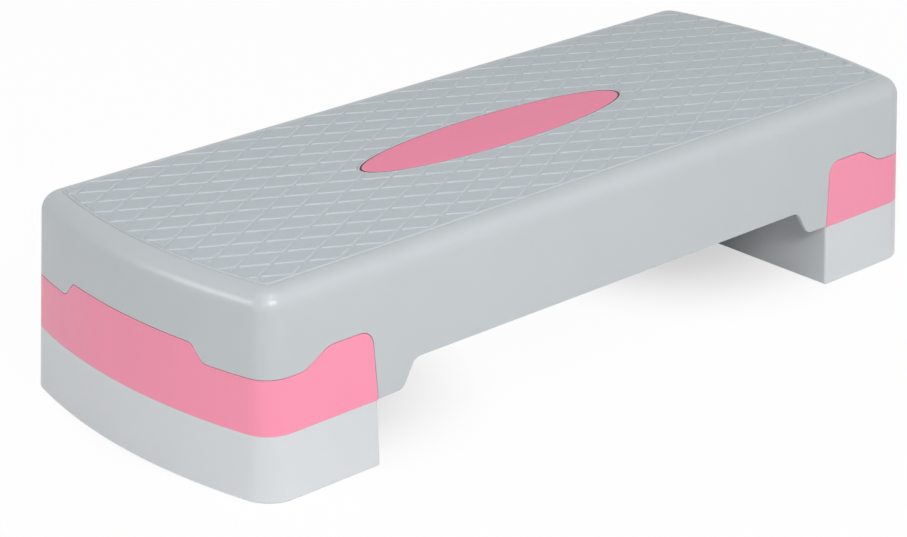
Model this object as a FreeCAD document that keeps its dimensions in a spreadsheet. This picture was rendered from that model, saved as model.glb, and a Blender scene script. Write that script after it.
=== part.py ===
"""Two-level aerobic step platform: a moulded deck on two push-in legs and two push-in risers.

Frame: X along the length, Y across the width, Z up, origin on the floor under the middle.
All lengths are in millimetres and all angles in degrees.
"""

import FreeCAD, Part
import math
import os

import Sketcher

# Driving dimensions
SIZES = {
    # Outline at the floor, shared by the deck, the legs and the feet
    "base_length": 695.0,
    "base_width": 270.0,
    "end_radius": 470.0,
    "platform_height": 150.0,
    "draft_angle": 3.0,
    # Deck shell
    "deck_wall": 3.0,
    "deck_plate": 3.2,
    "rim_radius": 14.0,
    "rim_land": 0.3,
    "core_rim_share": 0.8,
    # Tread, with a raised border
    "tread_height": 1.1,
    "tread_root": 1.0,
    "border_width": 2.4,
    "border_corner": 1.6,
    # Oval badge in the middle of the tread
    "badge_length": 257.0,
    "badge_width": 57.0,
    "badge_thickness": 2.4,
    "badge_recess": 1.5,
    "badge_gap": 0.3,
    "badge_tip_gap": 1.6,
    "badge_ring": 2.2,
    "peg_width": 4.8,
    "peg_length": 5.0,
    "peg_gap": 0.15,
    "peg_bay_share": 1.5,
    # Skirt and lugs of the deck, as heights above the foot tier
    "skirt_rise": 20.4,
    "lug_rise": 0.8,
    "lug_length": 17.5,
    "lug_ramp": 22.0,
    "lug_ramp_radius": 9.0,
    # Ribs under the deck
    "rib_wall": 2.0,
    "rib_depth": 24.0,
    "long_rib_pitch": 52.0,
    "long_rib_count": 4,
    "cross_rib_count": 7,
    "socket_wall": 3.0,
    "socket_rise": 24.0,
    "end_rib_depth": 17.7,
    # Legs, with heights above the foot tier
    "leg_length": 115.5,
    "leg_wall": 3.0,
    "leg_plate": 3.0,
    "collar_wall": 2.6,
    "ledge_rise": 27.0,
    "tab_rise": 51.4,
    "tab_length": 36.0,
    "tab_lean": 2.4,
    "tab_ramp": 31.0,
    "tab_ramp_radius": 18.0,
    "tab_corner": 10.0,
    "shoulder_rise": 39.4,
    "shoulder_land": 6.0,
    "tongue_width": 124.0,
    "tongue_ramp": 18.0,
    "tongue_ramp_radius": 8.0,
    "seam_gap": 0.4,
    "fit_gap": 0.3,
    # Feet
    "foot_tier": 49.0,
    "foot_wall": 3.0,
    "foot_plate": 4.0,
    "foot_corner": 2.5,
    "foot_edge": 1.2,
    "foot_rib_rise": 6.0,
    "plug_height": 8.0,
    "plug_wall": 2.5,
    "plug_clear": 2.0,
    "plug_relief": 20.0,
    # Rubber pads and the bosses that hold them
    "pad_width": 22.0,
    "pad_corner": 5.0,
    "pad_thickness": 3.0,
    "pad_seat": 2.0,
    "pad_chamfer": 0.8,
    "pad_gap": 0.15,
    "boss_wall": 2.5,
    "boss_height": 18.0,
    "pad_inner_inset": 27.0,
    "pad_end_inset": 4.0,
    "pad_side_inset": 26.0,
    "end_rib_count": 3,
    "hollow_gap": 1.0,
    # How far every cutting shape runs past what it cuts
    "overrun": 10.0,
}

# Sizes and places that follow from the driving dimensions
DERIVED = {
    "draft_slope": "tan(draft_angle)",
    "no_inset": "0",
    "deck_top": "platform_height - tread_height",
    "plate_underside": "deck_top - deck_plate",
    "tread_low": "deck_top - tread_root",
    "leg_face": "base_length / 2 - leg_length",
    "socket_face": "leg_face - fit_gap",
    "pad_stand": "pad_thickness - pad_seat",
    "cut_low": "foot_tier - overrun",
    # Insets from the shared outline
    "border_inset": "rim_radius + rim_land",
    "border_inner_inset": "border_inset + border_width",
    "top_corner": "border_corner + border_inner_inset",
    "corner_radius": "top_corner + deck_top * draft_slope",
    "corner_side": "base_width / 2 - corner_radius",
    "corner_end": "base_length / 2 - end_radius + sqrt((end_radius - corner_radius) ^ 2 - corner_side ^ 2)",
    "core_rim": "core_rim_share * max(rim_radius - deck_wall; border_corner)",
    "collar_inset": "deck_wall + fit_gap",
    "collar_inner_inset": "collar_inset + collar_wall",
    "plug_inset": "leg_wall + fit_gap",
    "plug_inner_inset": "plug_inset + plug_wall",
    # Levels of the skirt, lugs and legs
    "skirt_level": "foot_tier + skirt_rise",
    "lug_level": "foot_tier + lug_rise",
    "socket_level": "foot_tier + socket_rise",
    "tab_level": "foot_tier + tab_rise",
    "shoulder_level": "foot_tier + shoulder_rise",
    "ledge_level": "foot_tier + ledge_rise",
    "leg_top": "plate_underside - end_rib_depth",
    "leg_ceiling": "leg_top - leg_plate",
    "leg_rib_level": "foot_tier + plug_height + plug_clear",
    # Inner faces of the leg and foot walls
    "leg_inner_face": "leg_face + leg_wall",
    "foot_inner_face": "leg_face + foot_wall",
    "plug_face": "leg_inner_face + fit_gap",
    "plug_inner_face": "plug_face + plug_wall",
    "corner_face": "leg_face + tab_length + tab_ramp + shoulder_land",
    "tongue_half": "tongue_width / 2",
    # Feet
    "foot_cut_low": "pad_stand - overrun",
    "foot_ceiling": "foot_tier - foot_plate",
    "foot_rib_level": "pad_stand + foot_rib_rise",
    "plug_low": "foot_tier - foot_plate / 2",
    "plug_top": "foot_tier + plug_height",
    "plug_side": "base_width / 2 - plug_inner_inset - foot_tier * draft_slope",
    "leg_pad_level": "foot_tier - pad_stand",
    "pad_hollow_level": "leg_pad_level - fit_gap",
    # Pads
    "pad_near": "leg_face + pad_inner_inset",
    "pad_far": "corner_end - pad_end_inset",
    "pad_side": "base_width / 2 - pad_side_inset",
    "pad_half": "pad_width / 2",
    # Ribs
    "rib_half": "rib_wall / 2",
    "rib_level": "plate_underside - rib_depth",
    "long_rib_first": "-long_rib_pitch * (long_rib_count - 1) / 2",
    "cross_rib_pitch": "2 * socket_face / (cross_rib_count + 1)",
    "end_rib_pitch": "2 * pad_side / (end_rib_count - 1)",
    # Badge, its recess, ring and pegs
    "badge_level": "deck_top - badge_recess",
    "recess_length": "badge_length + 2 * badge_tip_gap",
    "recess_width": "badge_width + 2 * badge_gap",
    "ring_length": "recess_length + 2 * badge_ring",
    "ring_width": "recess_width + 2 * badge_ring",
    "peg_low": "badge_level - peg_length",
    "peg_place": "cross_rib_pitch * peg_bay_share",
    "peg_half": "peg_width / 2",
    "tread_rise": "tread_root + tread_height",
}

doc = FreeCAD.newDocument("step_platform")
sheet = doc.addObject("Spreadsheet::Sheet", "Dims")


def fill_sheet():
    """Write the driving dimensions and what follows from them into the sheet."""
    rows = [(name, str(value)) for name, value in SIZES.items()]
    rows += [(name, "=" + formula) for name, formula in DERIVED.items()]
    for row, (name, text) in enumerate(rows, start=1):
        sheet.set(f"A{row}", name)
        sheet.set(f"B{row}", text)
        sheet.setAlias(f"B{row}", name)
    doc.recompute()


def size(name):
    """The sheet's value of a size."""
    return float(sheet.get(name))


def ref(name):
    """An expression that reads a size from the sheet."""
    return f"Dims.{name}"


# Sketch helpers


def origin_feature(body, role):
    """The origin plane or axis of a body with this role."""
    return next(item for item in body.Origin.OriginFeatures if item.Role == role)


def new_body(name):
    body = doc.addObject("PartDesign::Body", name)
    body.Label = name
    return body


def new_sketch(body, name, role, offset=None):
    """A sketch on one of the body's origin planes, moved along its normal to a size of the sheet."""
    sketch = body.newObject("Sketcher::SketchObject", name)
    sketch.AttachmentSupport = (origin_feature(body, role), "")
    sketch.MapMode = "FlatFace"
    if offset:
        sketch.setExpression("AttachmentOffset.Base.z", ref(offset))
    return sketch


def bind(sketch, constraint, expression):
    """Add a dimension to a sketch and bind it to an expression."""
    index = sketch.addConstraint(constraint)
    sketch.setExpression(f"Constraints[{index}]", expression)


def fix_point(sketch, geometry, end, place, terms):
    """Hold a point at its place; each term is an expression, or None on that axis of the sketch."""
    x_term, y_term = terms
    if x_term is None:
        sketch.addConstraint(Sketcher.Constraint("PointOnObject", geometry, end, -2))
    else:
        bind(sketch, Sketcher.Constraint("DistanceX", -1, 1, geometry, end, place[0]), x_term)
    if y_term is None:
        sketch.addConstraint(Sketcher.Constraint("PointOnObject", geometry, end, -1))
    else:
        bind(sketch, Sketcher.Constraint("DistanceY", -1, 1, geometry, end, place[1]), y_term)


def vector(x, y):
    return FreeCAD.Vector(x, y, 0)


def arc_of(center, radius, start, end):
    """The counter-clockwise arc about a centre from one point to another."""
    start_angle = math.atan2(start[1] - center[1], start[0] - center[0])
    end_angle = math.atan2(end[1] - center[1], end[0] - center[0])
    circle = Part.Circle(vector(*center), FreeCAD.Vector(0, 0, 1), radius)
    return Part.ArcOfCircle(circle, start_angle, end_angle)


def less(names):
    """The same sizes with their signs turned round."""
    return [name[1:] if name[0] == "-" else "-" + name for name in names]


class Place:
    """A point written in sizes: its numbers for drawing and its expressions for the constraints.

    Each coordinate is None for zero, or a list of size names, each with a sign in front if it is not plus.
    """

    def __init__(self, x, y):
        self.spot = (self.total(x), self.total(y))
        self.terms = (self.formula(x), self.formula(y))

    @staticmethod
    def total(names):
        return sum(-size(name[1:]) if name[0] == "-" else size(name) for name in names or [])

    @staticmethod
    def formula(names):
        if not names:
            return None
        return " + ".join("-" + ref(name[1:]) if name[0] == "-" else ref(name) for name in names)


class Profile:
    """A closed outline, drawn in a sketch one stretch after another from its first corner."""

    def __init__(self, sketch, first):
        self.sketch = sketch
        self.first = first
        self.spot = first.spot
        self.last = None
        self.opening = None

    def _join(self, curve, start, end, smooth):
        """Add a curve whose first and last points are its ends `start` and `end`."""
        geometry = self.sketch.addGeometry(curve, False)
        if self.last is None:
            self.opening = (geometry, start)
            fix_point(self.sketch, geometry, start, self.first.spot, self.first.terms)
        else:
            kind = "Tangent" if smooth else "Coincident"
            self.sketch.addConstraint(Sketcher.Constraint(kind, *self.last, geometry, start))
        self.last = (geometry, end)
        return geometry

    def line(self, place, smooth=False):
        curve = Part.LineSegment(vector(*self.spot), vector(*place.spot))
        geometry = self._join(curve, 1, 2, smooth)
        fix_point(self.sketch, geometry, 2, place.spot, place.terms)
        self.spot = place.spot

    def corner(self, place, center, clockwise):
        """A round of about a quarter turn that leaves the last line smoothly and ends at a place."""
        radius = math.dist(center, place.spot)
        if clockwise:
            self._join(arc_of(center, radius, place.spot, self.spot), 2, 1, True)
        else:
            self._join(arc_of(center, radius, self.spot, place.spot), 1, 2, True)
        fix_point(self.sketch, *self.last, place.spot, place.terms)
        self.spot = place.spot

    def ramp(self, place, radius_name):
        """An S-shaped step between two level stretches: arc, straight flank, arc."""
        radius = size(radius_name)
        (x0, y0), (x1, y1) = self.spot, place.spot
        run, rise = x1 - x0, y1 - y0
        side = math.copysign(1, run)
        way = math.copysign(1, rise)
        flat, drop = abs(run), abs(rise) - 2 * radius
        angle = math.atan2(drop, flat) + math.asin(2 * radius / math.hypot(flat, drop))
        across = side * radius * math.sin(angle)
        along = way * radius * (1 - math.cos(angle))
        first_end = (x0 + across, y0 + along)
        flank_end = (x1 - across, y1 - along)
        first_center = (x0, y0 + way * radius)
        last_center = (x1, y1 - way * radius)
        turns_left = side * way > 0
        arcs = []
        if turns_left:
            arcs.append(self._join(arc_of(first_center, radius, self.spot, first_end), 1, 2, True))
        else:
            arcs.append(self._join(arc_of(first_center, radius, first_end, self.spot), 2, 1, True))
        self._join(Part.LineSegment(vector(*first_end), vector(*flank_end)), 1, 2, True)
        if turns_left:
            arcs.append(self._join(arc_of(last_center, radius, place.spot, flank_end), 2, 1, True))
        else:
            arcs.append(self._join(arc_of(last_center, radius, flank_end, place.spot), 1, 2, True))
        for arc in arcs:
            bind(self.sketch, Sketcher.Constraint("Radius", arc, radius), ref(radius_name))
        fix_point(self.sketch, *self.last, place.spot, place.terms)
        self.spot = place.spot

    def level(self, place):
        """A level stretch that carries on smoothly from a ramp."""
        self.line(place, smooth=True)

    def close(self):
        curve = Part.LineSegment(vector(*self.spot), vector(*self.first.spot))
        geometry = self._join(curve, 1, 2, False)
        self.sketch.addConstraint(Sketcher.Constraint("Coincident", geometry, 2, *self.opening))


def draw_polygon(sketch, places):
    """A closed outline of straight lines."""
    profile = Profile(sketch, places[0])
    for place in places[1:]:
        profile.line(place)
    profile.close()


def draw_rectangle(sketch, low, high):
    """A rectangle between two places, given as ([x sizes], [y sizes])."""
    draw_polygon(
        sketch,
        [Place(low[0], low[1]), Place(high[0], low[1]), Place(high[0], high[1]), Place(low[0], high[1])],
    )


def draw_octagon(sketch, x, y, half):
    """A pad's plan, a square with its corners cut off, about a middle given as two size names."""
    cut = ["pad_corner"]
    left, right = [x] + less(half), [x] + half
    front, back = [y] + less(half), [y] + half
    draw_polygon(
        sketch,
        [
            Place(left, front + cut),
            Place(left + cut, front),
            Place(right + less(cut), front),
            Place(right, front + cut),
            Place(right, back + less(cut)),
            Place(right + less(cut), back),
            Place(left + cut, back),
            Place(left, back + less(cut)),
        ],
    )


def draw_ellipse(sketch, length_name, width_name):
    """An ellipse about the origin, long along the sketch's first axis."""
    length, width = size(length_name), size(width_name)
    half_length, half_width = vector(length / 2, 0), vector(0, width / 2)
    geometry = sketch.addGeometry(Part.Ellipse(half_length, half_width, vector(0, 0)), False)
    sketch.exposeInternalGeometry(geometry)
    long_axis, short_axis = geometry + 1, geometry + 2
    sketch.addConstraint(Sketcher.Constraint("Coincident", geometry, 3, -1, 1))
    sketch.addConstraint(Sketcher.Constraint("Horizontal", long_axis))
    bind(sketch, Sketcher.Constraint("Distance", long_axis, length), ref(length_name))
    bind(sketch, Sketcher.Constraint("Distance", short_axis, width), ref(width_name))


def draw_outline(sketch, inset, level, clipped=False):
    """The shared plan outline at a level, drawn in by an inset: straight sides, bowed ends, round corners.

    A clipped outline, for the inside of a moulding, goes straight across its corners.
    """
    drawn_in = size(inset) + size(level) * size("draft_slope")
    drawn_in_term = f"({ref(inset)} + {ref(level)} * {ref('draft_slope')})"
    half_length = size("base_length") / 2 - drawn_in
    half_width = size("base_width") / 2 - drawn_in
    bow = size("end_radius") - drawn_in
    corner = size("corner_radius") - drawn_in
    bow_center = half_length - bow
    corner_x, corner_y = size("corner_end"), size("corner_side")
    turn = math.atan2(corner_y, corner_x - bow_center)
    bow_x, bow_y = bow_center + bow * math.cos(turn), bow * math.sin(turn)
    curves = [
        Part.LineSegment(vector(-corner_x, -half_width), vector(corner_x, -half_width)),
        arc_of((corner_x, -corner_y), corner, (corner_x, -half_width), (bow_x, -bow_y)),
        arc_of((bow_center, 0), bow, (bow_x, -bow_y), (bow_x, bow_y)),
        arc_of((corner_x, corner_y), corner, (bow_x, bow_y), (corner_x, half_width)),
        Part.LineSegment(vector(corner_x, half_width), vector(-corner_x, half_width)),
        arc_of((-corner_x, corner_y), corner, (-corner_x, half_width), (-bow_x, bow_y)),
        arc_of((-bow_center, 0), bow, (-bow_x, bow_y), (-bow_x, -bow_y)),
        arc_of((-corner_x, -corner_y), corner, (-bow_x, -bow_y), (-corner_x, -half_width)),
    ]
    front, right_bow, back, left_bow = 0, 2, 4, 6
    sketch.addGeometry(curves, False)
    for index in range(len(curves)):
        following = (index + 1) % len(curves)
        sketch.addConstraint(Sketcher.Constraint("Tangent", index, 2, following, 1))
    width_term = f"{ref('base_width')} / 2 - {drawn_in_term}"
    length_term = f"{ref('base_length')} / 2 - {ref('end_radius')}"
    bow_term = f"{ref('end_radius')} - {drawn_in_term}"
    corner_term = f"{ref('corner_radius')} - {drawn_in_term}"
    for line, sign in ((front, "-"), (back, "")):
        sketch.addConstraint(Sketcher.Constraint("Horizontal", line))
        place = half_width if line == back else -half_width
        bind(sketch, Sketcher.Constraint("DistanceY", -1, 1, line, 1, place), f"{sign}({width_term})")
    for bow_arc, sign in ((right_bow, ""), (left_bow, "-")):
        sketch.addConstraint(Sketcher.Constraint("PointOnObject", bow_arc, 3, -1))
        place = bow_center if bow_arc == right_bow else -bow_center
        bind(sketch, Sketcher.Constraint("DistanceX", -1, 1, bow_arc, 3, place), f"{sign}({length_term})")
        bind(sketch, Sketcher.Constraint("Radius", bow_arc, bow), bow_term)
    for corner_arc in (1, 3, 5, 7):
        bind(sketch, Sketcher.Constraint("Radius", corner_arc, corner), corner_term)
        if clipped:
            arc = curves[corner_arc]
            chord = sketch.addGeometry(Part.LineSegment(arc.StartPoint, arc.EndPoint), False)
            for end in (1, 2):
                sketch.addConstraint(Sketcher.Constraint("Coincident", chord, end, corner_arc, end))
            sketch.toggleConstruction(corner_arc)


# Feature helpers


def pad(body, sketch, name, length, both_ways=False):
    """Extrude a sketch along its normal, or half each way, by an expression."""
    feature = body.newObject("PartDesign::Pad", name)
    feature.Profile = sketch
    feature.setExpression("Length", length)
    if both_ways:
        feature.SideType = "Symmetric"
    doc.recompute()
    return feature


def cut_up(body, sketch, name):
    """Cut away everything above a sketch's outline."""
    before = body.Shape.Volume
    feature = body.newObject("PartDesign::Pocket", name)
    feature.Profile = sketch
    feature.Type = "ThroughAll"
    feature.Reversed = True
    doc.recompute()
    if not body.Shape.Volume < before:
        raise RuntimeError(f"{name} cuts nothing")
    return feature


def repeat(body, feature, name, axis, pitch, count):
    """Repeat a feature along an origin axis of its body."""
    pattern = body.newObject("PartDesign::LinearPattern", name)
    pattern.Originals = [feature]
    pattern.Direction = (origin_feature(body, axis), [""])
    pattern.setExpression("Length", f"{ref(pitch)} * ({ref(count)} - 1)")
    pattern.setExpression("Occurrences", ref(count))
    body.Tip = pattern
    doc.recompute()
    return pattern


def mirror(body, features, name, role):
    """Mirror features of a body about one of its origin planes."""
    feature = body.newObject("PartDesign::Mirrored", name)
    feature.Originals = features
    feature.MirrorPlane = (origin_feature(body, role), [""])
    body.Tip = feature
    doc.recompute()
    return feature


def round_edges(body, base, name, faces_or_edges, radius):
    """Round the named edges, or all edges of the named faces."""
    feature = body.newObject("PartDesign::Fillet", name)
    feature.Base = (base, faces_or_edges)
    feature.setExpression("Radius", radius)
    doc.recompute()
    return feature


def bevel_edges(body, base, name, faces, width):
    """Cut off all edges of the named faces at a slant."""
    feature = body.newObject("PartDesign::Chamfer", name)
    feature.Base = (base, faces)
    feature.setExpression("Size", width)
    doc.recompute()
    return feature


def level_face(shape, highest):
    """The name of the highest or lowest flat face of a shape."""
    heights = [face.CenterOfMass.z for face in shape.Faces]
    wanted = max(heights) if highest else min(heights)
    return f"Face{heights.index(wanted) + 1}"


def envelope(name, inset, low, high, clipped=False):
    """A body with the shared drafted outline between two levels, drawn in by an inset."""
    body = new_body(name)
    sketch = new_sketch(body, name + "_outline", "XY_Plane", low)
    draw_outline(sketch, inset, low, clipped)
    block = pad(body, sketch, name + "_block", f"{ref(high)} - {ref(low)}")
    block.setExpression("TaperAngle", "-" + ref("draft_angle"))
    doc.recompute()
    return body


def end_block(name, inset, low, high, face, clipped=False):
    """The right-hand end of an envelope, cut off square at a face."""
    body = envelope(name, inset, low, high, clipped)
    sketch = new_sketch(body, name + "_trim", "XY_Plane", low)
    draw_rectangle(
        sketch,
        (["-base_length"], ["-base_width"]),
        ([face], ["base_width"]),
    )
    cut_up(body, sketch, name + "_cut")
    return body


def hollow_block(name, inset, low, high, face):
    """The inside of a leg or foot: an end block that goes straight across the corners."""
    return end_block(name, inset, low, high, face, clipped=True)


def joined(name, kind, base, tool):
    """A boolean of two objects: Part::Cut, Part::Fuse or Part::Common."""
    result = doc.addObject(kind, name)
    result.Base = base
    result.Tool = tool
    result.Refine = True
    doc.recompute()
    return result


# Deck


def leg_mouth(name, gaps):
    """What a leg's outer band fills under the deck's edge at the right-hand end, grown by the named gaps."""
    body = new_body(name)
    inner = ["leg_face"] + less(gaps)
    leaning = ["leg_face", "tab_lean"] + less(gaps)
    tab = ["tab_level"] + gaps
    shoulder = ["shoulder_level"] + gaps
    round_start = ["tab_level", "-tab_corner"]
    round_end = ["leg_face", "tab_lean", "tab_corner"]

    side = new_sketch(body, name + "_side", "XZ_Plane")
    profile = Profile(side, Place(inner, ["cut_low"]))
    profile.line(Place(inner, ["foot_tier"]))
    profile.line(Place(leaning, round_start))
    profile.corner(Place(round_end, tab), Place(round_end, round_start).spot, clockwise=True)
    profile.line(Place(["leg_face", "tab_length"], tab))
    profile.ramp(Place(["leg_face", "tab_length", "tab_ramp"], shoulder), "tab_ramp_radius")
    profile.level(Place(["corner_face"], shoulder))
    profile.line(Place(["corner_face"], ["cut_low"]))
    profile.close()
    sides = pad(body, side, name + "_sides", "2 * " + ref("base_width"), both_ways=True)

    end = new_sketch(body, name + "_end", "YZ_Plane", "corner_face")
    profile = Profile(end, Place(["-base_width"], ["cut_low"]))
    profile.line(Place(["-base_width"], shoulder))
    profile.line(Place(["-tongue_half", "-tongue_ramp"], shoulder))
    profile.ramp(Place(["-tongue_half"], tab), "tongue_ramp_radius")
    profile.level(Place(["tongue_half"], tab))
    profile.ramp(Place(["tongue_half", "tongue_ramp"], shoulder), "tongue_ramp_radius")
    profile.level(Place(["base_width"], shoulder))
    profile.line(Place(["base_width"], ["cut_low"]))
    profile.close()
    ends = pad(body, end, name + "_ends", ref("base_length"))
    return body, [sides, ends]


def skirt_opening():
    """The arch under the long sides of the deck, between the lugs beside its legs."""
    body = new_body("skirt_opening")
    sketch = new_sketch(body, "skirt_opening_side", "XZ_Plane")
    profile = Profile(sketch, Place(["-leg_face"], ["cut_low"]))
    profile.line(Place(["-leg_face"], ["lug_level"]))
    profile.line(Place(["-leg_face", "lug_length"], ["lug_level"]))
    profile.ramp(Place(["-leg_face", "lug_length", "lug_ramp"], ["skirt_level"]), "lug_ramp_radius")
    profile.level(Place(["leg_face", "-lug_length", "-lug_ramp"], ["skirt_level"]))
    profile.ramp(Place(["leg_face", "-lug_length"], ["lug_level"]), "lug_ramp_radius")
    profile.level(Place(["leg_face"], ["lug_level"]))
    profile.line(Place(["leg_face"], ["cut_low"]))
    profile.close()
    pad(body, sketch, "skirt_opening_cut", "2 * " + ref("base_width"), both_ways=True)
    return body


def deck_ribs():
    """The rib grid under the deck and the cross walls of its two leg sockets."""
    body = new_body("deck_ribs")
    rib_height = f"{ref('rib_depth')} + {ref('overrun')}"
    long_rib_sides = (["long_rib_first", "-rib_half"], ["long_rib_first", "rib_half"])

    sketch = new_sketch(body, "long_rib_plan", "XY_Plane", "rib_level")
    draw_rectangle(
        sketch, (["-socket_face"], long_rib_sides[0]), (["socket_face"], long_rib_sides[1])
    )
    rib = pad(body, sketch, "long_rib", rib_height)
    repeat(body, rib, "long_ribs", "Y_Axis", "long_rib_pitch", "long_rib_count")

    sketch = new_sketch(body, "end_rib_plan", "XY_Plane", "leg_top")
    draw_rectangle(
        sketch, (["-base_length"], long_rib_sides[0]), (["base_length"], long_rib_sides[1])
    )
    rib = pad(body, sketch, "end_rib", f"{ref('plate_underside')} - {ref('leg_top')} + {ref('overrun')}")
    repeat(body, rib, "end_ribs", "Y_Axis", "long_rib_pitch", "long_rib_count")

    sketch = new_sketch(body, "cross_rib_plan", "XY_Plane", "rib_level")
    first = ["-socket_face", "cross_rib_pitch"]
    draw_rectangle(
        sketch, (first + ["-rib_half"], ["-base_width"]), (first + ["rib_half"], ["base_width"])
    )
    rib = pad(body, sketch, "cross_rib", rib_height)
    repeat(body, rib, "cross_ribs", "X_Axis", "cross_rib_pitch", "cross_rib_count")

    sketch = new_sketch(body, "socket_wall_plan", "XY_Plane", "socket_level")
    draw_rectangle(
        sketch,
        (["socket_face", "-socket_wall"], ["-base_width"]),
        (["socket_face"], ["base_width"]),
    )
    wall_height = f"{ref('plate_underside')} - {ref('socket_level')} + {ref('overrun')}"
    wall = pad(body, sketch, "socket_wall_right", wall_height)
    mirror(body, [wall], "socket_walls", "YZ_Plane")
    return body


def tread_border():
    """The raised line round the tread and the raised ring round the badge."""
    body = new_body("tread_border")
    outside = new_sketch(body, "border_outside", "XY_Plane", "tread_low")
    draw_outline(outside, "border_inset", "deck_top")
    pad(body, outside, "border_panel", ref("tread_rise"))
    inside = new_sketch(body, "border_inside", "XY_Plane", "tread_low")
    draw_outline(inside, "border_inner_inset", "deck_top")
    cut_up(body, inside, "border_cut")
    ring = new_sketch(body, "badge_ring_plan", "XY_Plane", "tread_low")
    draw_ellipse(ring, "ring_length", "ring_width")
    pad(body, ring, "badge_ring_disc", ref("tread_rise"))
    return body


def draw_pegs(sketch, half):
    """The plan of the badge's two square pegs, each between ribs of the deck."""
    for middle in ("peg_place", "-peg_place"):
        draw_rectangle(sketch, ([middle] + less(half), less(half)), ([middle] + half, half))


def badge_recess():
    """The oval hollow in the tread, with the holes for the badge's pegs."""
    body = new_body("badge_hollow")
    sketch = new_sketch(body, "badge_hollow_plan", "XY_Plane", "badge_level")
    draw_ellipse(sketch, "recess_length", "recess_width")
    pad(body, sketch, "badge_hollow_cut", f"{ref('badge_recess')} + {ref('overrun')}")
    holes = new_sketch(body, "peg_hole_plan", "XY_Plane", "peg_low")
    draw_pegs(holes, ["peg_half", "peg_gap"])
    pad(body, holes, "peg_holes", f"{ref('peg_length')} + {ref('badge_recess')}")
    return body


def make_deck():
    block = envelope("deck_block", "no_inset", "foot_tier", "deck_top")
    top = level_face(block.Shape, highest=True)
    round_edges(block, block.Tip, "deck_rim", [top], ref("rim_radius"))
    arched = joined("deck_arched", "Part::Cut", block, skirt_opening())
    mouths, features = leg_mouth("leg_mouths", ["seam_gap"])
    mirror(mouths, features, "leg_mouths_both", "YZ_Plane")
    fitted = joined("deck_fitted", "Part::Cut", arched, mouths)
    bordered = joined("deck_bordered", "Part::Fuse", fitted, tread_border())
    recessed = joined("deck_recessed", "Part::Cut", bordered, badge_recess())
    core = envelope("deck_core", "deck_wall", "cut_low", "plate_underside")
    top = level_face(core.Shape, highest=True)
    bevel_edges(core, core.Tip, "deck_core_rim", [top], ref("core_rim"))
    slotted = joined("deck_slotted_core", "Part::Cut", core, deck_ribs())
    return joined("deck", "Part::Cut", recessed, slotted)


def make_badge():
    body = new_body("badge")
    sketch = new_sketch(body, "badge_plan", "XY_Plane", "badge_level")
    draw_ellipse(sketch, "badge_length", "badge_width")
    pad(body, sketch, "badge_plate", ref("badge_thickness"))
    pegs = new_sketch(body, "badge_peg_plan", "XY_Plane", "peg_low")
    draw_pegs(pegs, ["peg_half"])
    pad(body, pegs, "badge_pegs", ref("peg_length"))
    return body


# Legs and feet, drawn at the right-hand end


PAD_SPOTS = {
    "front_inner": ("pad_near", "-pad_side"),
    "front_outer": ("pad_far", "-pad_side"),
    "back_inner": ("pad_near", "pad_side"),
    "back_outer": ("pad_far", "pad_side"),
}


def blocks_at_pads(body, name, level, half, height):
    """Four columns with a pad's plan, one over each pad, from a level up by an expression."""
    sketch = new_sketch(body, name + "_plan", "XY_Plane", level)
    for x_size, y_size in PAD_SPOTS.values():
        draw_octagon(sketch, x_size, y_size, half)
    return pad(body, sketch, name, height)


def end_ribs(name, level, ceiling, low):
    """The rib grid inside a leg or foot, with a boss over each pad where its ribs cross."""
    body = new_body(name)
    height = f"{ref(ceiling)} - {ref(level)} + {ref('overrun')}"
    sketch = new_sketch(body, name + "_long_plan", "XY_Plane", level)
    draw_rectangle(
        sketch,
        (["leg_face"], ["-pad_side", "-rib_half"]),
        (["base_length"], ["-pad_side", "rib_half"]),
    )
    rib = pad(body, sketch, name + "_long", height)
    repeat(body, rib, name + "_longs", "Y_Axis", "end_rib_pitch", "end_rib_count")
    for row in ("pad_near", "pad_far"):
        sketch = new_sketch(body, f"{name}_{row}_plan", "XY_Plane", level)
        draw_rectangle(
            sketch,
            ([row, "-rib_half"], ["-base_width"]),
            ([row, "rib_half"], ["base_width"]),
        )
        pad(body, sketch, f"{name}_{row}", height)
    boss_half = ["pad_half", "pad_gap", "boss_wall"]
    blocks_at_pads(body, name + "_bosses", low, boss_half, f"{ref('boss_height')} + {ref('overrun')}")
    return body


def pad_seats(name, low):
    """The seats for the pads, cut into the bosses from below."""
    body = new_body(name)
    blocks_at_pads(body, name + "_cut", low, ["pad_half", "pad_gap"], f"{ref('pad_seat')} + {ref('overrun')}")
    return body


def make_leg():
    shell = envelope("leg_envelope", "no_inset", "foot_tier", "leg_top")
    region, _ = leg_mouth("leg_band_region", [])
    band = joined("leg_band", "Part::Common", shell, region)
    collar = end_block("leg_collar", "collar_inset", "skirt_level", "leg_top", "leg_face")
    solid = joined("leg_solid", "Part::Fuse", band, collar)
    low = hollow_block("leg_low_hollow", "leg_wall", "cut_low", "ledge_level", "leg_inner_face")
    high = hollow_block("leg_high_hollow", "collar_inner_inset", "skirt_level", "leg_ceiling", "leg_inner_face")
    hollow = joined("leg_hollow", "Part::Fuse", low, high)
    ribs = end_ribs("leg_ribs", "leg_rib_level", "leg_ceiling", "cut_low")
    ribbed = joined("leg_ribbed_hollow", "Part::Cut", hollow, ribs)
    opened = joined("leg_opened", "Part::Cut", solid, ribbed)
    return joined("right_leg", "Part::Cut", opened, pad_seats("leg_pad_seats", "cut_low"))


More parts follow.
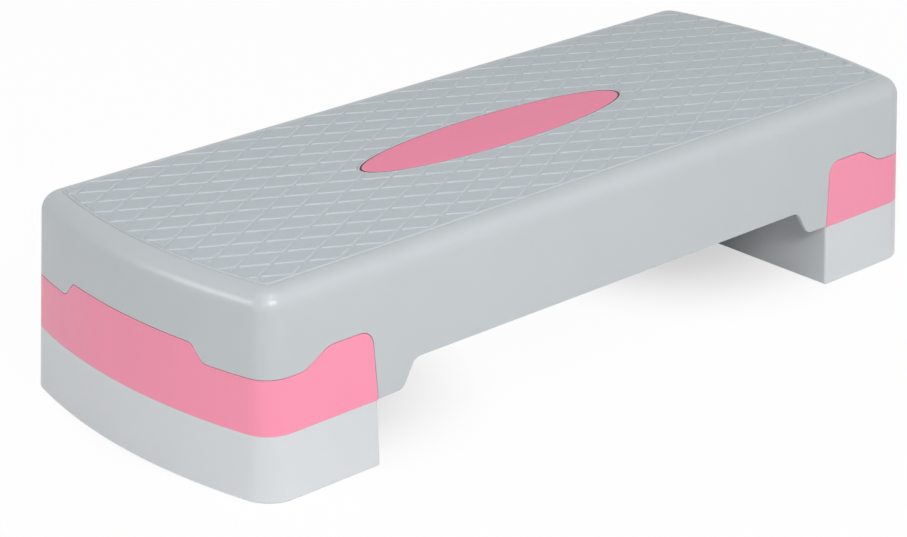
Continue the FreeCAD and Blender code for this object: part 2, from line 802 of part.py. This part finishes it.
def foot_block():
    """The outer block of a foot, with its inner upright corners rounded and its lower edge bevelled."""
    body = end_block("foot_block", "no_inset", "pad_stand", "foot_tier", "leg_face")
    face = size("leg_face")
    upright = []
    for index, edge in enumerate(body.Shape.Edges, start=1):
        box = edge.BoundBox
        stands = box.ZLength > box.YLength
        if stands and math.isclose(box.XMin, face) and math.isclose(box.XMax, face):
            upright.append(f"Edge{index}")
    corners = round_edges(body, body.Tip, "foot_corners", upright, ref("foot_corner"))
    bottom = level_face(corners.Shape, highest=False)
    bevel_edges(body, corners, "foot_lower_edge", [bottom], ref("foot_edge"))
    return body


def foot_plug():
    """The rim on top of a foot that plugs into its leg: three bars, clear of each other at the corners."""
    body = end_block("foot_plug", "plug_inset", "plug_low", "plug_top", "plug_face")
    bore = new_sketch(body, "foot_plug_bore", "XY_Plane", "foot_tier")
    draw_rectangle(bore, (["plug_inner_face"], ["-plug_side"]), (["base_length"], ["plug_side"]))
    cut_up(body, bore, "foot_plug_hollow")
    end = new_sketch(body, "foot_plug_end", "XY_Plane", "foot_tier")
    draw_rectangle(end, (["pad_far", "-pad_half"], ["-base_width"]), (["base_length"], ["base_width"]))
    cut_up(body, end, "foot_plug_trim")
    corners = new_sketch(body, "foot_plug_corners", "XY_Plane", "foot_tier")
    relief_end = ["plug_face", "plug_relief"]
    draw_rectangle(corners, (["leg_face"], ["plug_side", "-plug_relief"]), (relief_end, ["base_width"]))
    draw_rectangle(corners, (["leg_face"], ["-base_width"]), (relief_end, ["-plug_side", "plug_relief"]))
    cut_up(body, corners, "foot_plug_relief")
    return body


def make_foot():
    solid = joined("foot_solid", "Part::Fuse", foot_block(), foot_plug())
    hollow = hollow_block("foot_hollow", "foot_wall", "foot_cut_low", "foot_ceiling", "foot_inner_face")
    ribs = end_ribs("foot_ribs", "foot_rib_level", "foot_ceiling", "foot_cut_low")
    ribbed = joined("foot_ribbed_hollow", "Part::Cut", hollow, ribs)
    opened = joined("foot_opened", "Part::Cut", solid, ribbed)
    seated = joined("foot_seated", "Part::Cut", opened, pad_seats("foot_pad_seats", "foot_cut_low"))
    hollows = new_body("foot_top_hollows")
    blocks_at_pads(
        hollows,
        "foot_top_hollow",
        "pad_hollow_level",
        ["pad_half", "hollow_gap"],
        f"{ref('foot_tier')} - {ref('pad_hollow_level')} + {ref('overrun')}",
    )
    return joined("right_foot", "Part::Cut", seated, hollows)


def mirrored(name, source):
    """The same moulding at the left-hand end."""
    result = doc.addObject("Part::Mirroring", name)
    result.Source = source
    result.Normal = FreeCAD.Vector(1, 0, 0)
    doc.recompute()
    return result


def make_pad(name, x_size, y_size, level):
    """A rubber pad: an eight-sided slab with a bevelled tread, glued into the seat of its boss."""
    body = new_body(name)
    sketch = new_sketch(body, name + "_plan", "XY_Plane", level)
    draw_octagon(sketch, x_size, y_size, ["pad_half"])
    slab = pad(body, sketch, name + "_slab", ref("pad_thickness"))
    bevel_edges(body, slab, name + "_tread", [level_face(slab.Shape, highest=False)], ref("pad_chamfer"))
    return body


def make_pads():
    """Four pads under each leg and four under each foot."""
    pads = []
    for end in ("left", "right"):
        for tier, level in (("leg", "leg_pad_level"), ("foot", None)):
            for spot, (x_size, y_size) in PAD_SPOTS.items():
                x_size = x_size if end == "right" else "-" + x_size
                pads.append(make_pad(f"{end}_{tier}_pad_{spot}", x_size, y_size, level))
    return pads


def check(pieces):
    """Stop unless every object of the document is sound and every piece is one valid solid."""
    for item in doc.Objects:
        if "Invalid" in item.State or "Error" in item.State:
            raise RuntimeError(f"{item.Name} failed: {item.State}")
    for piece in pieces:
        shape = piece.Shape
        if shape.isNull() or not shape.isValid() or len(shape.Solids) != 1:
            raise RuntimeError(f"{piece.Label} is not one valid solid")


def main():
    fill_sheet()
    deck = make_deck()
    badge = make_badge()
    right_leg = make_leg()
    right_foot = make_foot()
    left_leg = mirrored("left_leg", right_leg)
    left_foot = mirrored("left_foot", right_foot)
    pieces = [deck, badge, left_leg, right_leg, left_foot, right_foot] + make_pads()
    check(pieces)
    os.makedirs("parts", exist_ok=True)
    for piece in pieces:
        piece.Shape.exportStep(f"parts/{piece.Label}.step")


main()
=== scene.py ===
"""Looks of the two-level step platform: finished mouldings, tread relief, plastics, light and camera."""

import math

import bmesh
import bpy
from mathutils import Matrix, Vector


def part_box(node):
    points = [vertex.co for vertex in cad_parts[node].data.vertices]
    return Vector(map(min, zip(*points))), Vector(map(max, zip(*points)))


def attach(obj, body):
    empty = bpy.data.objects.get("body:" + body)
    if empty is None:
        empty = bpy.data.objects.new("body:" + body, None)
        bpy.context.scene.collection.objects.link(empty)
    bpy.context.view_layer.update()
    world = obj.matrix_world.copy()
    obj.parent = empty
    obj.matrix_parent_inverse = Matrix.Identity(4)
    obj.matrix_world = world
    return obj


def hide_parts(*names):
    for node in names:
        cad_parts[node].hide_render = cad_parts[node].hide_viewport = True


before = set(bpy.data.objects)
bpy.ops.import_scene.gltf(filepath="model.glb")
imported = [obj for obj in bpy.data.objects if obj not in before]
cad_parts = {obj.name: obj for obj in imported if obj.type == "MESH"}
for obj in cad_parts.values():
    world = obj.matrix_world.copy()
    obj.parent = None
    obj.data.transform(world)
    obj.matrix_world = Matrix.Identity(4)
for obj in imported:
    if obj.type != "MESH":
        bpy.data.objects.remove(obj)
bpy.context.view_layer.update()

# Shared outline of the mouldings, in metres
BASE_LENGTH = 0.695
BASE_WIDTH = 0.270
END_RADIUS = 0.470
DRAFT_SLOPE = math.tan(math.radians(3.0))
DECK_TOP = 0.1489
TREAD_TOP = 0.150
TOP_CORNER = 0.0183
CORNER_RADIUS = TOP_CORNER + DECK_TOP * DRAFT_SLOPE
CORNER_SIDE = BASE_WIDTH / 2 - CORNER_RADIUS
BOW_CENTER = BASE_LENGTH / 2 - END_RADIUS
CORNER_END = BOW_CENTER + math.sqrt((END_RADIUS - CORNER_RADIUS) ** 2 - CORNER_SIDE**2)
LEG_FACE = 0.232

# Edge softening of the mouldings
WELD_DISTANCE = 0.00001
FLAT_ANGLE = math.radians(0.4)
SHARP_ANGLE = math.radians(32.0)
SMOOTH_ANGLE = math.radians(46.0)
SKIN_DEPTH = 0.0003
BETWEEN_LEGS = LEG_FACE - SKIN_DEPTH * 3
SKIRT_EDGE = 0.0011
SEAM_EDGE = 0.0005
LEG_EDGE = 0.0003
FOOT_EDGE = 0.0009
BORDER_EDGE = 0.0009
BADGE_EDGE = 0.0006
EDGE_STEPS = 3
ROUND_PROFILE = 0.5

# Tread relief
TILE_CORNERS = 4
TILE_PITCH_X = 0.0410
TILE_PITCH_Y = 0.0222
TILE_HALF_X = 0.01733
TILE_HALF_Y = 0.00939
TILE_ROOT = 0.0004
TILE_FLARE = 1.08
TILE_COLUMNS = 17
TILE_ROWS = 11
TILE_INSET = 0.0166
TILE_SLIVER = 14e-6
FACES_UP = 0.5
CLEARING_LENGTH = 0.2646
CLEARING_WIDTH = 0.0620
RELIEF_EDGE = 0.00025
RELIEF_STEPS = 2
BOW_STEPS = 512
OVAL_STEPS = 160

# Dark ring of painted shade in the gap round the badge
SHADE_RING_LENGTH = 0.2600
SHADE_RING_WIDTH = 0.0574
SHADE_RING_OPENING_LENGTH = 0.2571
SHADE_RING_OPENING_WIDTH = 0.0571
SHADE_RING_FOOT = 0.1475
SHADE_RING_TOP = 0.1497

# Patterns of the finishes; waves are counted per metre
DRIFT_WAVES = 11
DRIFT_DETAIL = 3
GLOSS_WAVES = 160
FINE_DETAIL = 2
NOISE_ROUGHNESS = 0.55
PATTERN_LOW = 0.3
PATTERN_HIGH = 0.7
GRAIN_STRENGTH = 0.35

# Floor
FLOOR_SIZE = 16
# The paper is painted darker by the inner faces of the legs as their contact shade; this painted shade
# also dims the light bounced from the floor there.
PAPER_SHADED = (0.40, 0.40, 0.40)
PAPER_PALE = (0.90, 0.90, 0.90)
PAPER_ROUGHNESS = 0.9
PAPER_SHEEN = 0.1
SHADE_CENTER = (0.215, 0, 0)
SHADE_CORE = 0.02
SHADE_REACH = 0.17
GLOW_NEAR = 0.60
GLOW_FAR = 0.97

# Light
WHITE = (1, 1, 1)
WARM_WHITE = (1, 0.985, 0.97)
ROOM_TINT = (0.95, 0.99, 1.0)
FULL_WHITE = 1.0
ROOM_LIGHT = 0.2
FRONT_POWER = 33.2
RIGHT_POWER = 3.2
TOP_POWER = 11.0
STRIP_POWER = 3.9

# Camera, matched to the photograph
CAMERA_PLACE = (-1.36460, -1.41464, 0.86767)
CAMERA_TURN = (1.171148, -0.008347, -0.748986)
CAMERA_LENS = 111.875
CAMERA_SENSOR = 36
CAMERA_NEAR = 0.05


# Working with pieces


def deselect_all():
    bpy.ops.object.select_all(action="DESELECT")


def take_up(piece):
    """Make a piece the only one selected."""
    deselect_all()
    piece.select_set(True)
    bpy.context.view_layer.objects.active = piece


def apply_modifier(piece, modifier):
    take_up(piece)
    bpy.ops.object.modifier_apply(modifier=modifier.name)


def copied_solid(node, name):
    """A copy of a solid with its triangles welded and its flats cleared, ready for finishing."""
    piece = bpy.data.objects.new(name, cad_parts[node].data.copy())
    bpy.context.scene.collection.objects.link(piece)
    take_up(piece)
    bpy.ops.mesh.customdata_custom_splitnormals_clear()
    bpy.ops.object.mode_set(mode="EDIT")
    bpy.ops.mesh.select_all(action="SELECT")
    bpy.ops.mesh.remove_doubles(threshold=WELD_DISTANCE)
    bpy.ops.mesh.dissolve_limited(angle_limit=FLAT_ANGLE)
    bpy.ops.mesh.select_all(action="DESELECT")
    bpy.ops.object.mode_set(mode="OBJECT")
    return piece


def bevel_where(piece, chosen, width, steps):
    """Round the sharp edges of a piece that a test picks out."""
    take_up(piece)
    bpy.ops.object.mode_set(mode="EDIT")
    bpy.ops.mesh.select_mode(type="EDGE")
    bpy.ops.mesh.select_all(action="DESELECT")
    mesh = bmesh.from_edit_mesh(piece.data)
    for edge in mesh.edges:
        sharp = edge.is_manifold and edge.calc_face_angle() > SHARP_ANGLE
        edge.select_set(sharp and chosen(edge.verts[0].co, edge.verts[1].co))
    bmesh.update_edit_mesh(piece.data)
    bpy.ops.mesh.bevel(
        offset=width, segments=steps, profile=ROUND_PROFILE, affect="EDGES", clamp_overlap=True
    )
    bpy.ops.object.mode_set(mode="OBJECT")


def finish_shading(piece):
    """Smooth the rounds and keep the flats flat."""
    take_up(piece)
    bpy.ops.object.shade_smooth_by_angle(angle=SMOOTH_ANGLE, keep_sharp_edges=True)
    even = piece.modifiers.new("even_flats", "WEIGHTED_NORMAL")
    even.mode = "FACE_AREA"
    even.keep_sharp = True
    apply_modifier(piece, even)


def skin_gap(point):
    """How far a point lies inside the drafted outer skin shared by deck, legs and feet."""
    x, y = abs(point.x), abs(point.y)
    drawn_in = point.z * DRAFT_SLOPE
    if x > CORNER_END and y > CORNER_SIDE:
        return CORNER_RADIUS - drawn_in - math.hypot(x - CORNER_END, y - CORNER_SIDE)
    side = BASE_WIDTH / 2 - drawn_in - y
    bow = END_RADIUS - drawn_in - math.hypot(x - BOW_CENTER, y)
    return min(side, bow)


def on_skin(first, second):
    return skin_gap(first) < SKIN_DEPTH and skin_gap(second) < SKIN_DEPTH


# Mouldings


def is_skirt_edge(first, second):
    """Lower edges of the long sides and of the lugs beside the legs."""
    between_legs = max(abs(first.x), abs(second.x)) < BETWEEN_LEGS
    return between_legs and on_skin(first, second)


def is_seam_edge(first, second):
    """Edges of the deck where its legs come through."""
    at_leg = min(abs(first.x), abs(second.x)) > BETWEEN_LEGS
    return at_leg and on_skin(first, second)


def is_tread_edge(first, second):
    """Upper edges of the raised border, of the ring round the badge and of the diamonds."""
    return min(first.z, second.z) > TREAD_TOP - SKIN_DEPTH


def make_deck():
    deck = copied_solid("deck", "deck_moulding")
    bevel_where(deck, is_skirt_edge, SKIRT_EDGE, EDGE_STEPS)
    bevel_where(deck, is_seam_edge, SEAM_EDGE, EDGE_STEPS)
    bevel_where(deck, is_tread_edge, BORDER_EDGE, EDGE_STEPS)
    finish_shading(deck)
    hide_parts("deck")
    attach(deck, "deck")
    return deck


def make_badge():
    badge = copied_solid("badge", "badge_insert")
    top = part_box("badge")[1].z - SKIN_DEPTH
    bevel_where(badge, lambda first, second: min(first.z, second.z) > top, BADGE_EDGE, EDGE_STEPS)
    finish_shading(badge)
    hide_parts("badge")
    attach(badge, "deck")
    return badge


def make_end_piece(node, edge_width):
    """A leg or a foot with its outer edges softened."""
    piece = copied_solid(node, f"{node}_moulding")
    bevel_where(piece, on_skin, edge_width, EDGE_STEPS)
    finish_shading(piece)
    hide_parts(node)
    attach(piece, node)
    return piece


# Tread relief and bead


def trim_block(name, shape, operation, piece):
    """Cut a piece by a trimming shape and take the shape away again."""
    trim = piece.modifiers.new(name, "BOOLEAN")
    trim.object = shape
    trim.operation = operation
    trim.solver = "EXACT"
    apply_modifier(piece, trim)
    bpy.data.objects.remove(shape)


def trim_round(radius, x, scale_y, steps):
    """A tall round block about a point on the long axis."""
    deselect_all()
    bpy.ops.mesh.primitive_cylinder_add(
        vertices=steps, radius=radius, depth=TREAD_TOP, location=(x, 0, TREAD_TOP), scale=(1, scale_y, 1)
    )
    return bpy.context.active_object


def trim_oval(length, width):
    """A tall oval block about the middle of the tread."""
    return trim_round(length / 2, 0, width / length, OVAL_STEPS)


def tread_field(piece):
    """Trim the diamonds to the inside of the border and clear the oval for the badge."""
    drawn_in = TILE_INSET + DECK_TOP * DRAFT_SLOPE
    deselect_all()
    bpy.ops.mesh.primitive_cube_add(size=1, location=(0, 0, TREAD_TOP))
    sides = bpy.context.active_object
    sides.scale = (BASE_LENGTH, BASE_WIDTH - 2 * drawn_in, TREAD_TOP)
    trim_block("sides", sides, "INTERSECT", piece)
    for side in (1, -1):
        bow = trim_round(END_RADIUS - drawn_in, side * BOW_CENTER, 1, BOW_STEPS)
        trim_block("bow", bow, "INTERSECT", piece)
    trim_block("oval", trim_oval(CLEARING_LENGTH, CLEARING_WIDTH), "DIFFERENCE", piece)


def drop_slivers(piece):
    """Take out the scraps of diamonds that are too small to be moulded."""
    take_up(piece)
    bpy.ops.object.mode_set(mode="EDIT")
    bpy.ops.mesh.select_mode(type="FACE")
    bpy.ops.mesh.select_all(action="DESELECT")
    mesh = bmesh.from_edit_mesh(piece.data)
    seen = set()
    for start in mesh.faces:
        if start in seen:
            continue
        island, front = {start}, [start]
        while front:
            for edge in front.pop().edges:
                fresh = [face for face in edge.link_faces if face not in island]
                island.update(fresh)
                front.extend(fresh)
        seen |= island
        top_area = sum(face.calc_area() for face in island if face.normal.z > FACES_UP)
        if top_area < TILE_SLIVER:
            for face in island:
                face.select_set(True)
    bmesh.update_edit_mesh(piece.data)
    bpy.ops.mesh.delete(type="FACE")
    bpy.ops.object.mode_set(mode="OBJECT")


def make_tread():
    """The field of raised diamonds with sloping flanks, in two staggered grids."""
    height = TREAD_TOP - DECK_TOP + TILE_ROOT
    first_x = -TILE_PITCH_X * (TILE_COLUMNS - 1) / 2
    first_y = -TILE_PITCH_Y * (TILE_ROWS - 1) / 2
    deselect_all()
    bpy.ops.mesh.primitive_cone_add(
        vertices=TILE_CORNERS,
        radius1=TILE_FLARE,
        radius2=1,
        depth=1,
        location=(first_x + TILE_PITCH_X / 2, first_y, TREAD_TOP - height / 2),
        scale=(TILE_HALF_X, TILE_HALF_Y, height),
    )
    tread = bpy.context.active_object
    tread.name = "tread_relief"
    bpy.ops.object.transform_apply(location=True, rotation=True, scale=True)
    bpy.ops.object.mode_set(mode="EDIT")
    bpy.ops.mesh.select_all(action="SELECT")
    bpy.ops.mesh.duplicate_move(
        TRANSFORM_OT_translate={"value": (-TILE_PITCH_X / 2, TILE_PITCH_Y / 2, 0)}
    )
    bpy.ops.object.mode_set(mode="OBJECT")
    for name, count, step in (
        ("columns", TILE_COLUMNS, (TILE_PITCH_X, 0, 0)),
        ("rows", TILE_ROWS, (0, TILE_PITCH_Y, 0)),
    ):
        grid = tread.modifiers.new(name, "ARRAY")
        grid.count = count
        grid.use_relative_offset = False
        grid.use_constant_offset = True
        grid.constant_offset_displace = step
        apply_modifier(tread, grid)
    tread_field(tread)
    drop_slivers(tread)
    bevel_where(tread, is_tread_edge, RELIEF_EDGE, RELIEF_STEPS)
    finish_shading(tread)
    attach(tread, "deck")
    return tread


def make_painted_shade_ring():
    """A dark ring of painted shade in the gap between the badge and its recess."""
    deselect_all()
    bpy.ops.mesh.primitive_cylinder_add(
        vertices=OVAL_STEPS,
        radius=SHADE_RING_LENGTH / 2,
        depth=SHADE_RING_TOP - SHADE_RING_FOOT,
        location=(0, 0, (SHADE_RING_TOP + SHADE_RING_FOOT) / 2),
        scale=(1, SHADE_RING_WIDTH / SHADE_RING_LENGTH, 1),
    )
    shade_ring = bpy.context.active_object
    shade_ring.name = "badge_painted_shade"
    bpy.ops.object.transform_apply(location=True, rotation=True, scale=True)
    trim_block("opening", trim_oval(SHADE_RING_OPENING_LENGTH, SHADE_RING_OPENING_WIDTH), "DIFFERENCE", shade_ring)
    finish_shading(shade_ring)
    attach(shade_ring, "deck")
    return shade_ring


# Finishes


def new_finish(name):
    """A new material with its shader and the coordinates of the piece."""
    finish = bpy.data.materials.new(name)
    finish.use_nodes = True
    nodes = finish.node_tree.nodes
    shader = nodes["Principled BSDF"]
    place = nodes.new("ShaderNodeTexCoord")
    return finish, finish.node_tree, shader, place.outputs["Object"]


def speckle(tree, place, scale, detail):
    """A noise pattern, its scale in waves per metre."""
    noise = tree.nodes.new("ShaderNodeTexNoise")
    noise.inputs["Scale"].default_value = scale
    noise.inputs["Detail"].default_value = detail
    noise.inputs["Roughness"].default_value = NOISE_ROUGHNESS
    tree.links.new(place, noise.inputs["Vector"])
    return noise.outputs["Fac"]


def spread(tree, pattern, low, high):
    """A pattern stretched over a range of values."""
    stretch = tree.nodes.new("ShaderNodeMapRange")
    stretch.inputs["From Min"].default_value = PATTERN_LOW
    stretch.inputs["From Max"].default_value = PATTERN_HIGH
    stretch.inputs["To Min"].default_value = low
    stretch.inputs["To Max"].default_value = high
    tree.links.new(pattern, stretch.inputs["Value"])
    return stretch.outputs["Result"]


def mottle(tree, pattern, dark, light):
    """A colour that drifts between two tones."""
    ramp = tree.nodes.new("ShaderNodeValToRGB")
    ramp.color_ramp.elements[0].position = PATTERN_LOW
    ramp.color_ramp.elements[1].position = PATTERN_HIGH
    ramp.color_ramp.elements[0].color = (*dark, 1)
    ramp.color_ramp.elements[1].color = (*light, 1)
    tree.links.new(pattern, ramp.inputs["Fac"])
    return ramp.outputs["Color"]


def moulded_plastic(name, tone, drift, sheen, gloss, grain_size, grain_depth):
    """Satin moulded plastic: a slow drift of tone, a fine eroded grain and slightly uneven gloss."""
    finish, tree, shader, place = new_finish(name)
    dark = tuple(value * (1 - drift) for value in tone)
    light = tuple(value * (1 + drift) for value in tone)
    color = mottle(tree, speckle(tree, place, DRIFT_WAVES, DRIFT_DETAIL), dark, light)
    tree.links.new(color, shader.inputs["Base Color"])
    shader.inputs["Specular IOR Level"].default_value = sheen
    rough = spread(tree, speckle(tree, place, GLOSS_WAVES, FINE_DETAIL), *gloss)
    tree.links.new(rough, shader.inputs["Roughness"])
    grain = tree.nodes.new("ShaderNodeBump")
    grain.inputs["Strength"].default_value = GRAIN_STRENGTH
    grain.inputs["Distance"].default_value = grain_depth
    tree.links.new(speckle(tree, place, 1 / grain_size, FINE_DETAIL), grain.inputs["Height"])
    tree.links.new(grain.outputs["Normal"], shader.inputs["Normal"])
    return finish


def dress(piece, finish):
    piece.data.materials.clear()
    piece.data.materials.append(finish)


# Stage


def seen_directly(tree):
    """One where a ray comes from the camera, a mirror or a pane, and nothing elsewhere."""
    paths = tree.nodes.new("ShaderNodeLightPath")
    kinds = ("Is Camera Ray", "Is Glossy Ray", "Is Transmission Ray")
    total = paths.outputs[kinds[0]]
    for kind in kinds[1:]:
        both = tree.nodes.new("ShaderNodeMath")
        both.operation = "MAXIMUM"
        tree.links.new(total, both.inputs[0])
        tree.links.new(paths.outputs[kind], both.inputs[1])
        total = both.outputs[0]
    return total


def painted_shade_by_legs(tree, place):
    """The mask of painted shade on the floor: low by the inner faces of the legs and high away from
    them.
    """
    steps = (("ABSOLUTE", None), ("SUBTRACT", SHADE_CENTER), ("LENGTH", None))
    for operation, amount in steps:
        step = tree.nodes.new("ShaderNodeVectorMath")
        step.operation = operation
        if amount:
            step.inputs[1].default_value = amount
        tree.links.new(place, step.inputs[0])
        place = step.outputs[0]
    rise = tree.nodes.new("ShaderNodeMapRange")
    rise.interpolation_type = "SMOOTHSTEP"
    rise.inputs["From Min"].default_value = SHADE_CORE
    rise.inputs["From Max"].default_value = SHADE_REACH
    rise.inputs["To Min"].default_value = PATTERN_LOW
    rise.inputs["To Max"].default_value = PATTERN_HIGH
    tree.links.new(step.outputs["Value"], rise.inputs["Value"])
    return rise.outputs["Result"]


def make_floor():
    """White paper that glows except by the legs, where the glow is lower so their shadow shows and the
    paper is painted darker as shade.
    """
    deselect_all()
    bpy.ops.mesh.primitive_plane_add(size=FLOOR_SIZE, location=(0, 0, 0))
    floor = bpy.context.active_object
    floor.name = "studio_floor"
    finish, tree, shader, place = new_finish("studio_paper")
    shader.inputs["Roughness"].default_value = PAPER_ROUGHNESS
    shader.inputs["Specular IOR Level"].default_value = PAPER_SHEEN
    # Painted shade: the paper's tone and its glow fall by the inner faces of the legs.
    away = painted_shade_by_legs(tree, place)
    color = mottle(tree, away, PAPER_SHADED, PAPER_PALE)
    tree.links.new(color, shader.inputs["Base Color"])
    glow = tree.nodes.new("ShaderNodeEmission")
    glow.inputs["Strength"].default_value = FULL_WHITE
    share = tree.nodes.new("ShaderNodeMath")
    share.operation = "MULTIPLY"
    tree.links.new(seen_directly(tree), share.inputs[0])
    tree.links.new(spread(tree, away, GLOW_NEAR, GLOW_FAR), share.inputs[1])
    blend = tree.nodes.new("ShaderNodeMixShader")
    tree.links.new(share.outputs[0], blend.inputs[0])
    tree.links.new(shader.outputs[0], blend.inputs[1])
    tree.links.new(glow.outputs[0], blend.inputs[2])
    tree.links.new(blend.outputs[0], tree.nodes["Material Output"].inputs["Surface"])
    dress(floor, finish)


def soft_lamp(name, place, aim, size, power, tint):
    """A soft box that faces a point."""
    lamp = bpy.data.lights.new(name, "AREA")
    lamp.shape = "RECTANGLE"
    lamp.size, lamp.size_y = size
    lamp.energy = power
    lamp.color = tint
    holder = bpy.data.objects.new(name, lamp)
    bpy.context.scene.collection.objects.link(holder)
    holder.location = place
    holder.rotation_euler = (Vector(aim) - Vector(place)).to_track_quat("-Z", "Y").to_euler()


def make_room():
    """A dim pale room that looks white itself."""
    world = bpy.data.worlds.new("studio")
    bpy.context.scene.world = world
    world.use_nodes = True
    tree = world.node_tree
    tree.nodes.clear()
    room = tree.nodes.new("ShaderNodeBackground")
    room.inputs["Color"].default_value = (*ROOM_TINT, 1)
    room.inputs["Strength"].default_value = ROOM_LIGHT
    backdrop = tree.nodes.new("ShaderNodeBackground")
    backdrop.inputs["Color"].default_value = (*WHITE, 1)
    backdrop.inputs["Strength"].default_value = FULL_WHITE
    choice = tree.nodes.new("ShaderNodeMixShader")
    output = tree.nodes.new("ShaderNodeOutputWorld")
    tree.links.new(seen_directly(tree), choice.inputs[0])
    tree.links.new(room.outputs[0], choice.inputs[1])
    tree.links.new(backdrop.outputs[0], choice.inputs[2])
    tree.links.new(choice.outputs[0], output.inputs["Surface"])


def make_lamps():
    """A key lamp at the front and weaker lamps that draw out the tread, the rims and the ends."""
    soft_lamp(
        "front_box",
        place=(-0.8, -2.0, 1.5),
        aim=(0, 0, 0.05),
        size=(1.4, 0.6),
        power=FRONT_POWER,
        tint=WARM_WHITE,
    )
    soft_lamp(
        "right_box",
        place=(1.5, -1.5, 1.85),
        aim=(0, 0, 0.1),
        size=(1.6, 1.4),
        power=RIGHT_POWER,
        tint=WHITE,
    )
    soft_lamp(
        "top_box",
        place=(-0.15, -0.9, 2.0),
        aim=(-0.1, 0, 0.1),
        size=(1.2, 1.0),
        power=TOP_POWER,
        tint=WHITE,
    )
    soft_lamp(
        "end_strip",
        place=(-1.42, 0.50, 0.56),
        aim=(-0.34, -0.04, 0.14),
        size=(0.6, 0.36),
        power=STRIP_POWER,
        tint=WHITE,
    )


def make_camera():
    camera = bpy.data.cameras.new("photo_camera")
    camera.lens = CAMERA_LENS
    camera.sensor_width = CAMERA_SENSOR
    camera.clip_start = CAMERA_NEAR
    holder = bpy.data.objects.new("photo_camera", camera)
    bpy.context.scene.collection.objects.link(holder)
    holder.location = CAMERA_PLACE
    holder.rotation_euler = CAMERA_TURN
    bpy.context.scene.camera = holder


grey_plastic = moulded_plastic(
    "grey_plastic",
    tone=(0.532, 0.57, 0.594),
    drift=0.012,
    sheen=0.6,
    gloss=(0.30, 0.34),
    grain_size=0.0009,
    grain_depth=0.00003,
)
# Painted light: the feet are the deck's grey plastic, painted lighter in tone.
foot_plastic_painted_lighter = moulded_plastic(
    "foot_plastic_painted_lighter",
    tone=(0.68, 0.711, 0.733),
    drift=0.012,
    sheen=0.4,
    gloss=(0.30, 0.36),
    grain_size=0.0009,
    grain_depth=0.00006,
)
pink_plastic = moulded_plastic(
    "pink_plastic",
    tone=(0.97, 0.315, 0.455),
    drift=0.01,
    sheen=0.3,
    gloss=(0.30, 0.36),
    grain_size=0.0009,
    grain_depth=0.00005,
)
badge_plastic = moulded_plastic(
    "badge_plastic",
    tone=(0.97, 0.265, 0.415),
    drift=0.01,
    sheen=0.14,
    gloss=(0.34, 0.40),
    grain_size=0.0006,
    grain_depth=0.00003,
)
tread_plastic = moulded_plastic(
    "tread_plastic",
    tone=(0.523, 0.574, 0.612),
    drift=0.012,
    sheen=0.28,
    gloss=(0.38, 0.45),
    grain_size=0.0009,
    grain_depth=0.00004,
)
# Black rubber of the pads, also used for the dark ring of painted shade round the badge.
pad_rubber_and_painted_shade = moulded_plastic(
    "pad_rubber_and_painted_shade",
    tone=(0.045, 0.045, 0.05),
    drift=0.08,
    sheen=0.3,
    gloss=(0.66, 0.8),
    grain_size=0.0007,
    grain_depth=0.00012,
)

dress(make_deck(), grey_plastic)
dress(make_tread(), tread_plastic)
dress(make_badge(), badge_plastic)
# The dark ring in the badge's gap is painted shade, dressed in the pads' black rubber.
dress(make_painted_shade_ring(), pad_rubber_and_painted_shade)
for end in ("left", "right"):
    dress(make_end_piece(f"{end}_leg", LEG_EDGE), pink_plastic)
    dress(make_end_piece(f"{end}_foot", FOOT_EDGE), foot_plastic_painted_lighter)
for name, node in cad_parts.items():
    if "_pad_" in name:
        dress(node, pad_rubber_and_painted_shade)

make_floor()
make_room()
make_lamps()
make_camera()
bpy.context.scene.view_settings.view_transform = "Standard"
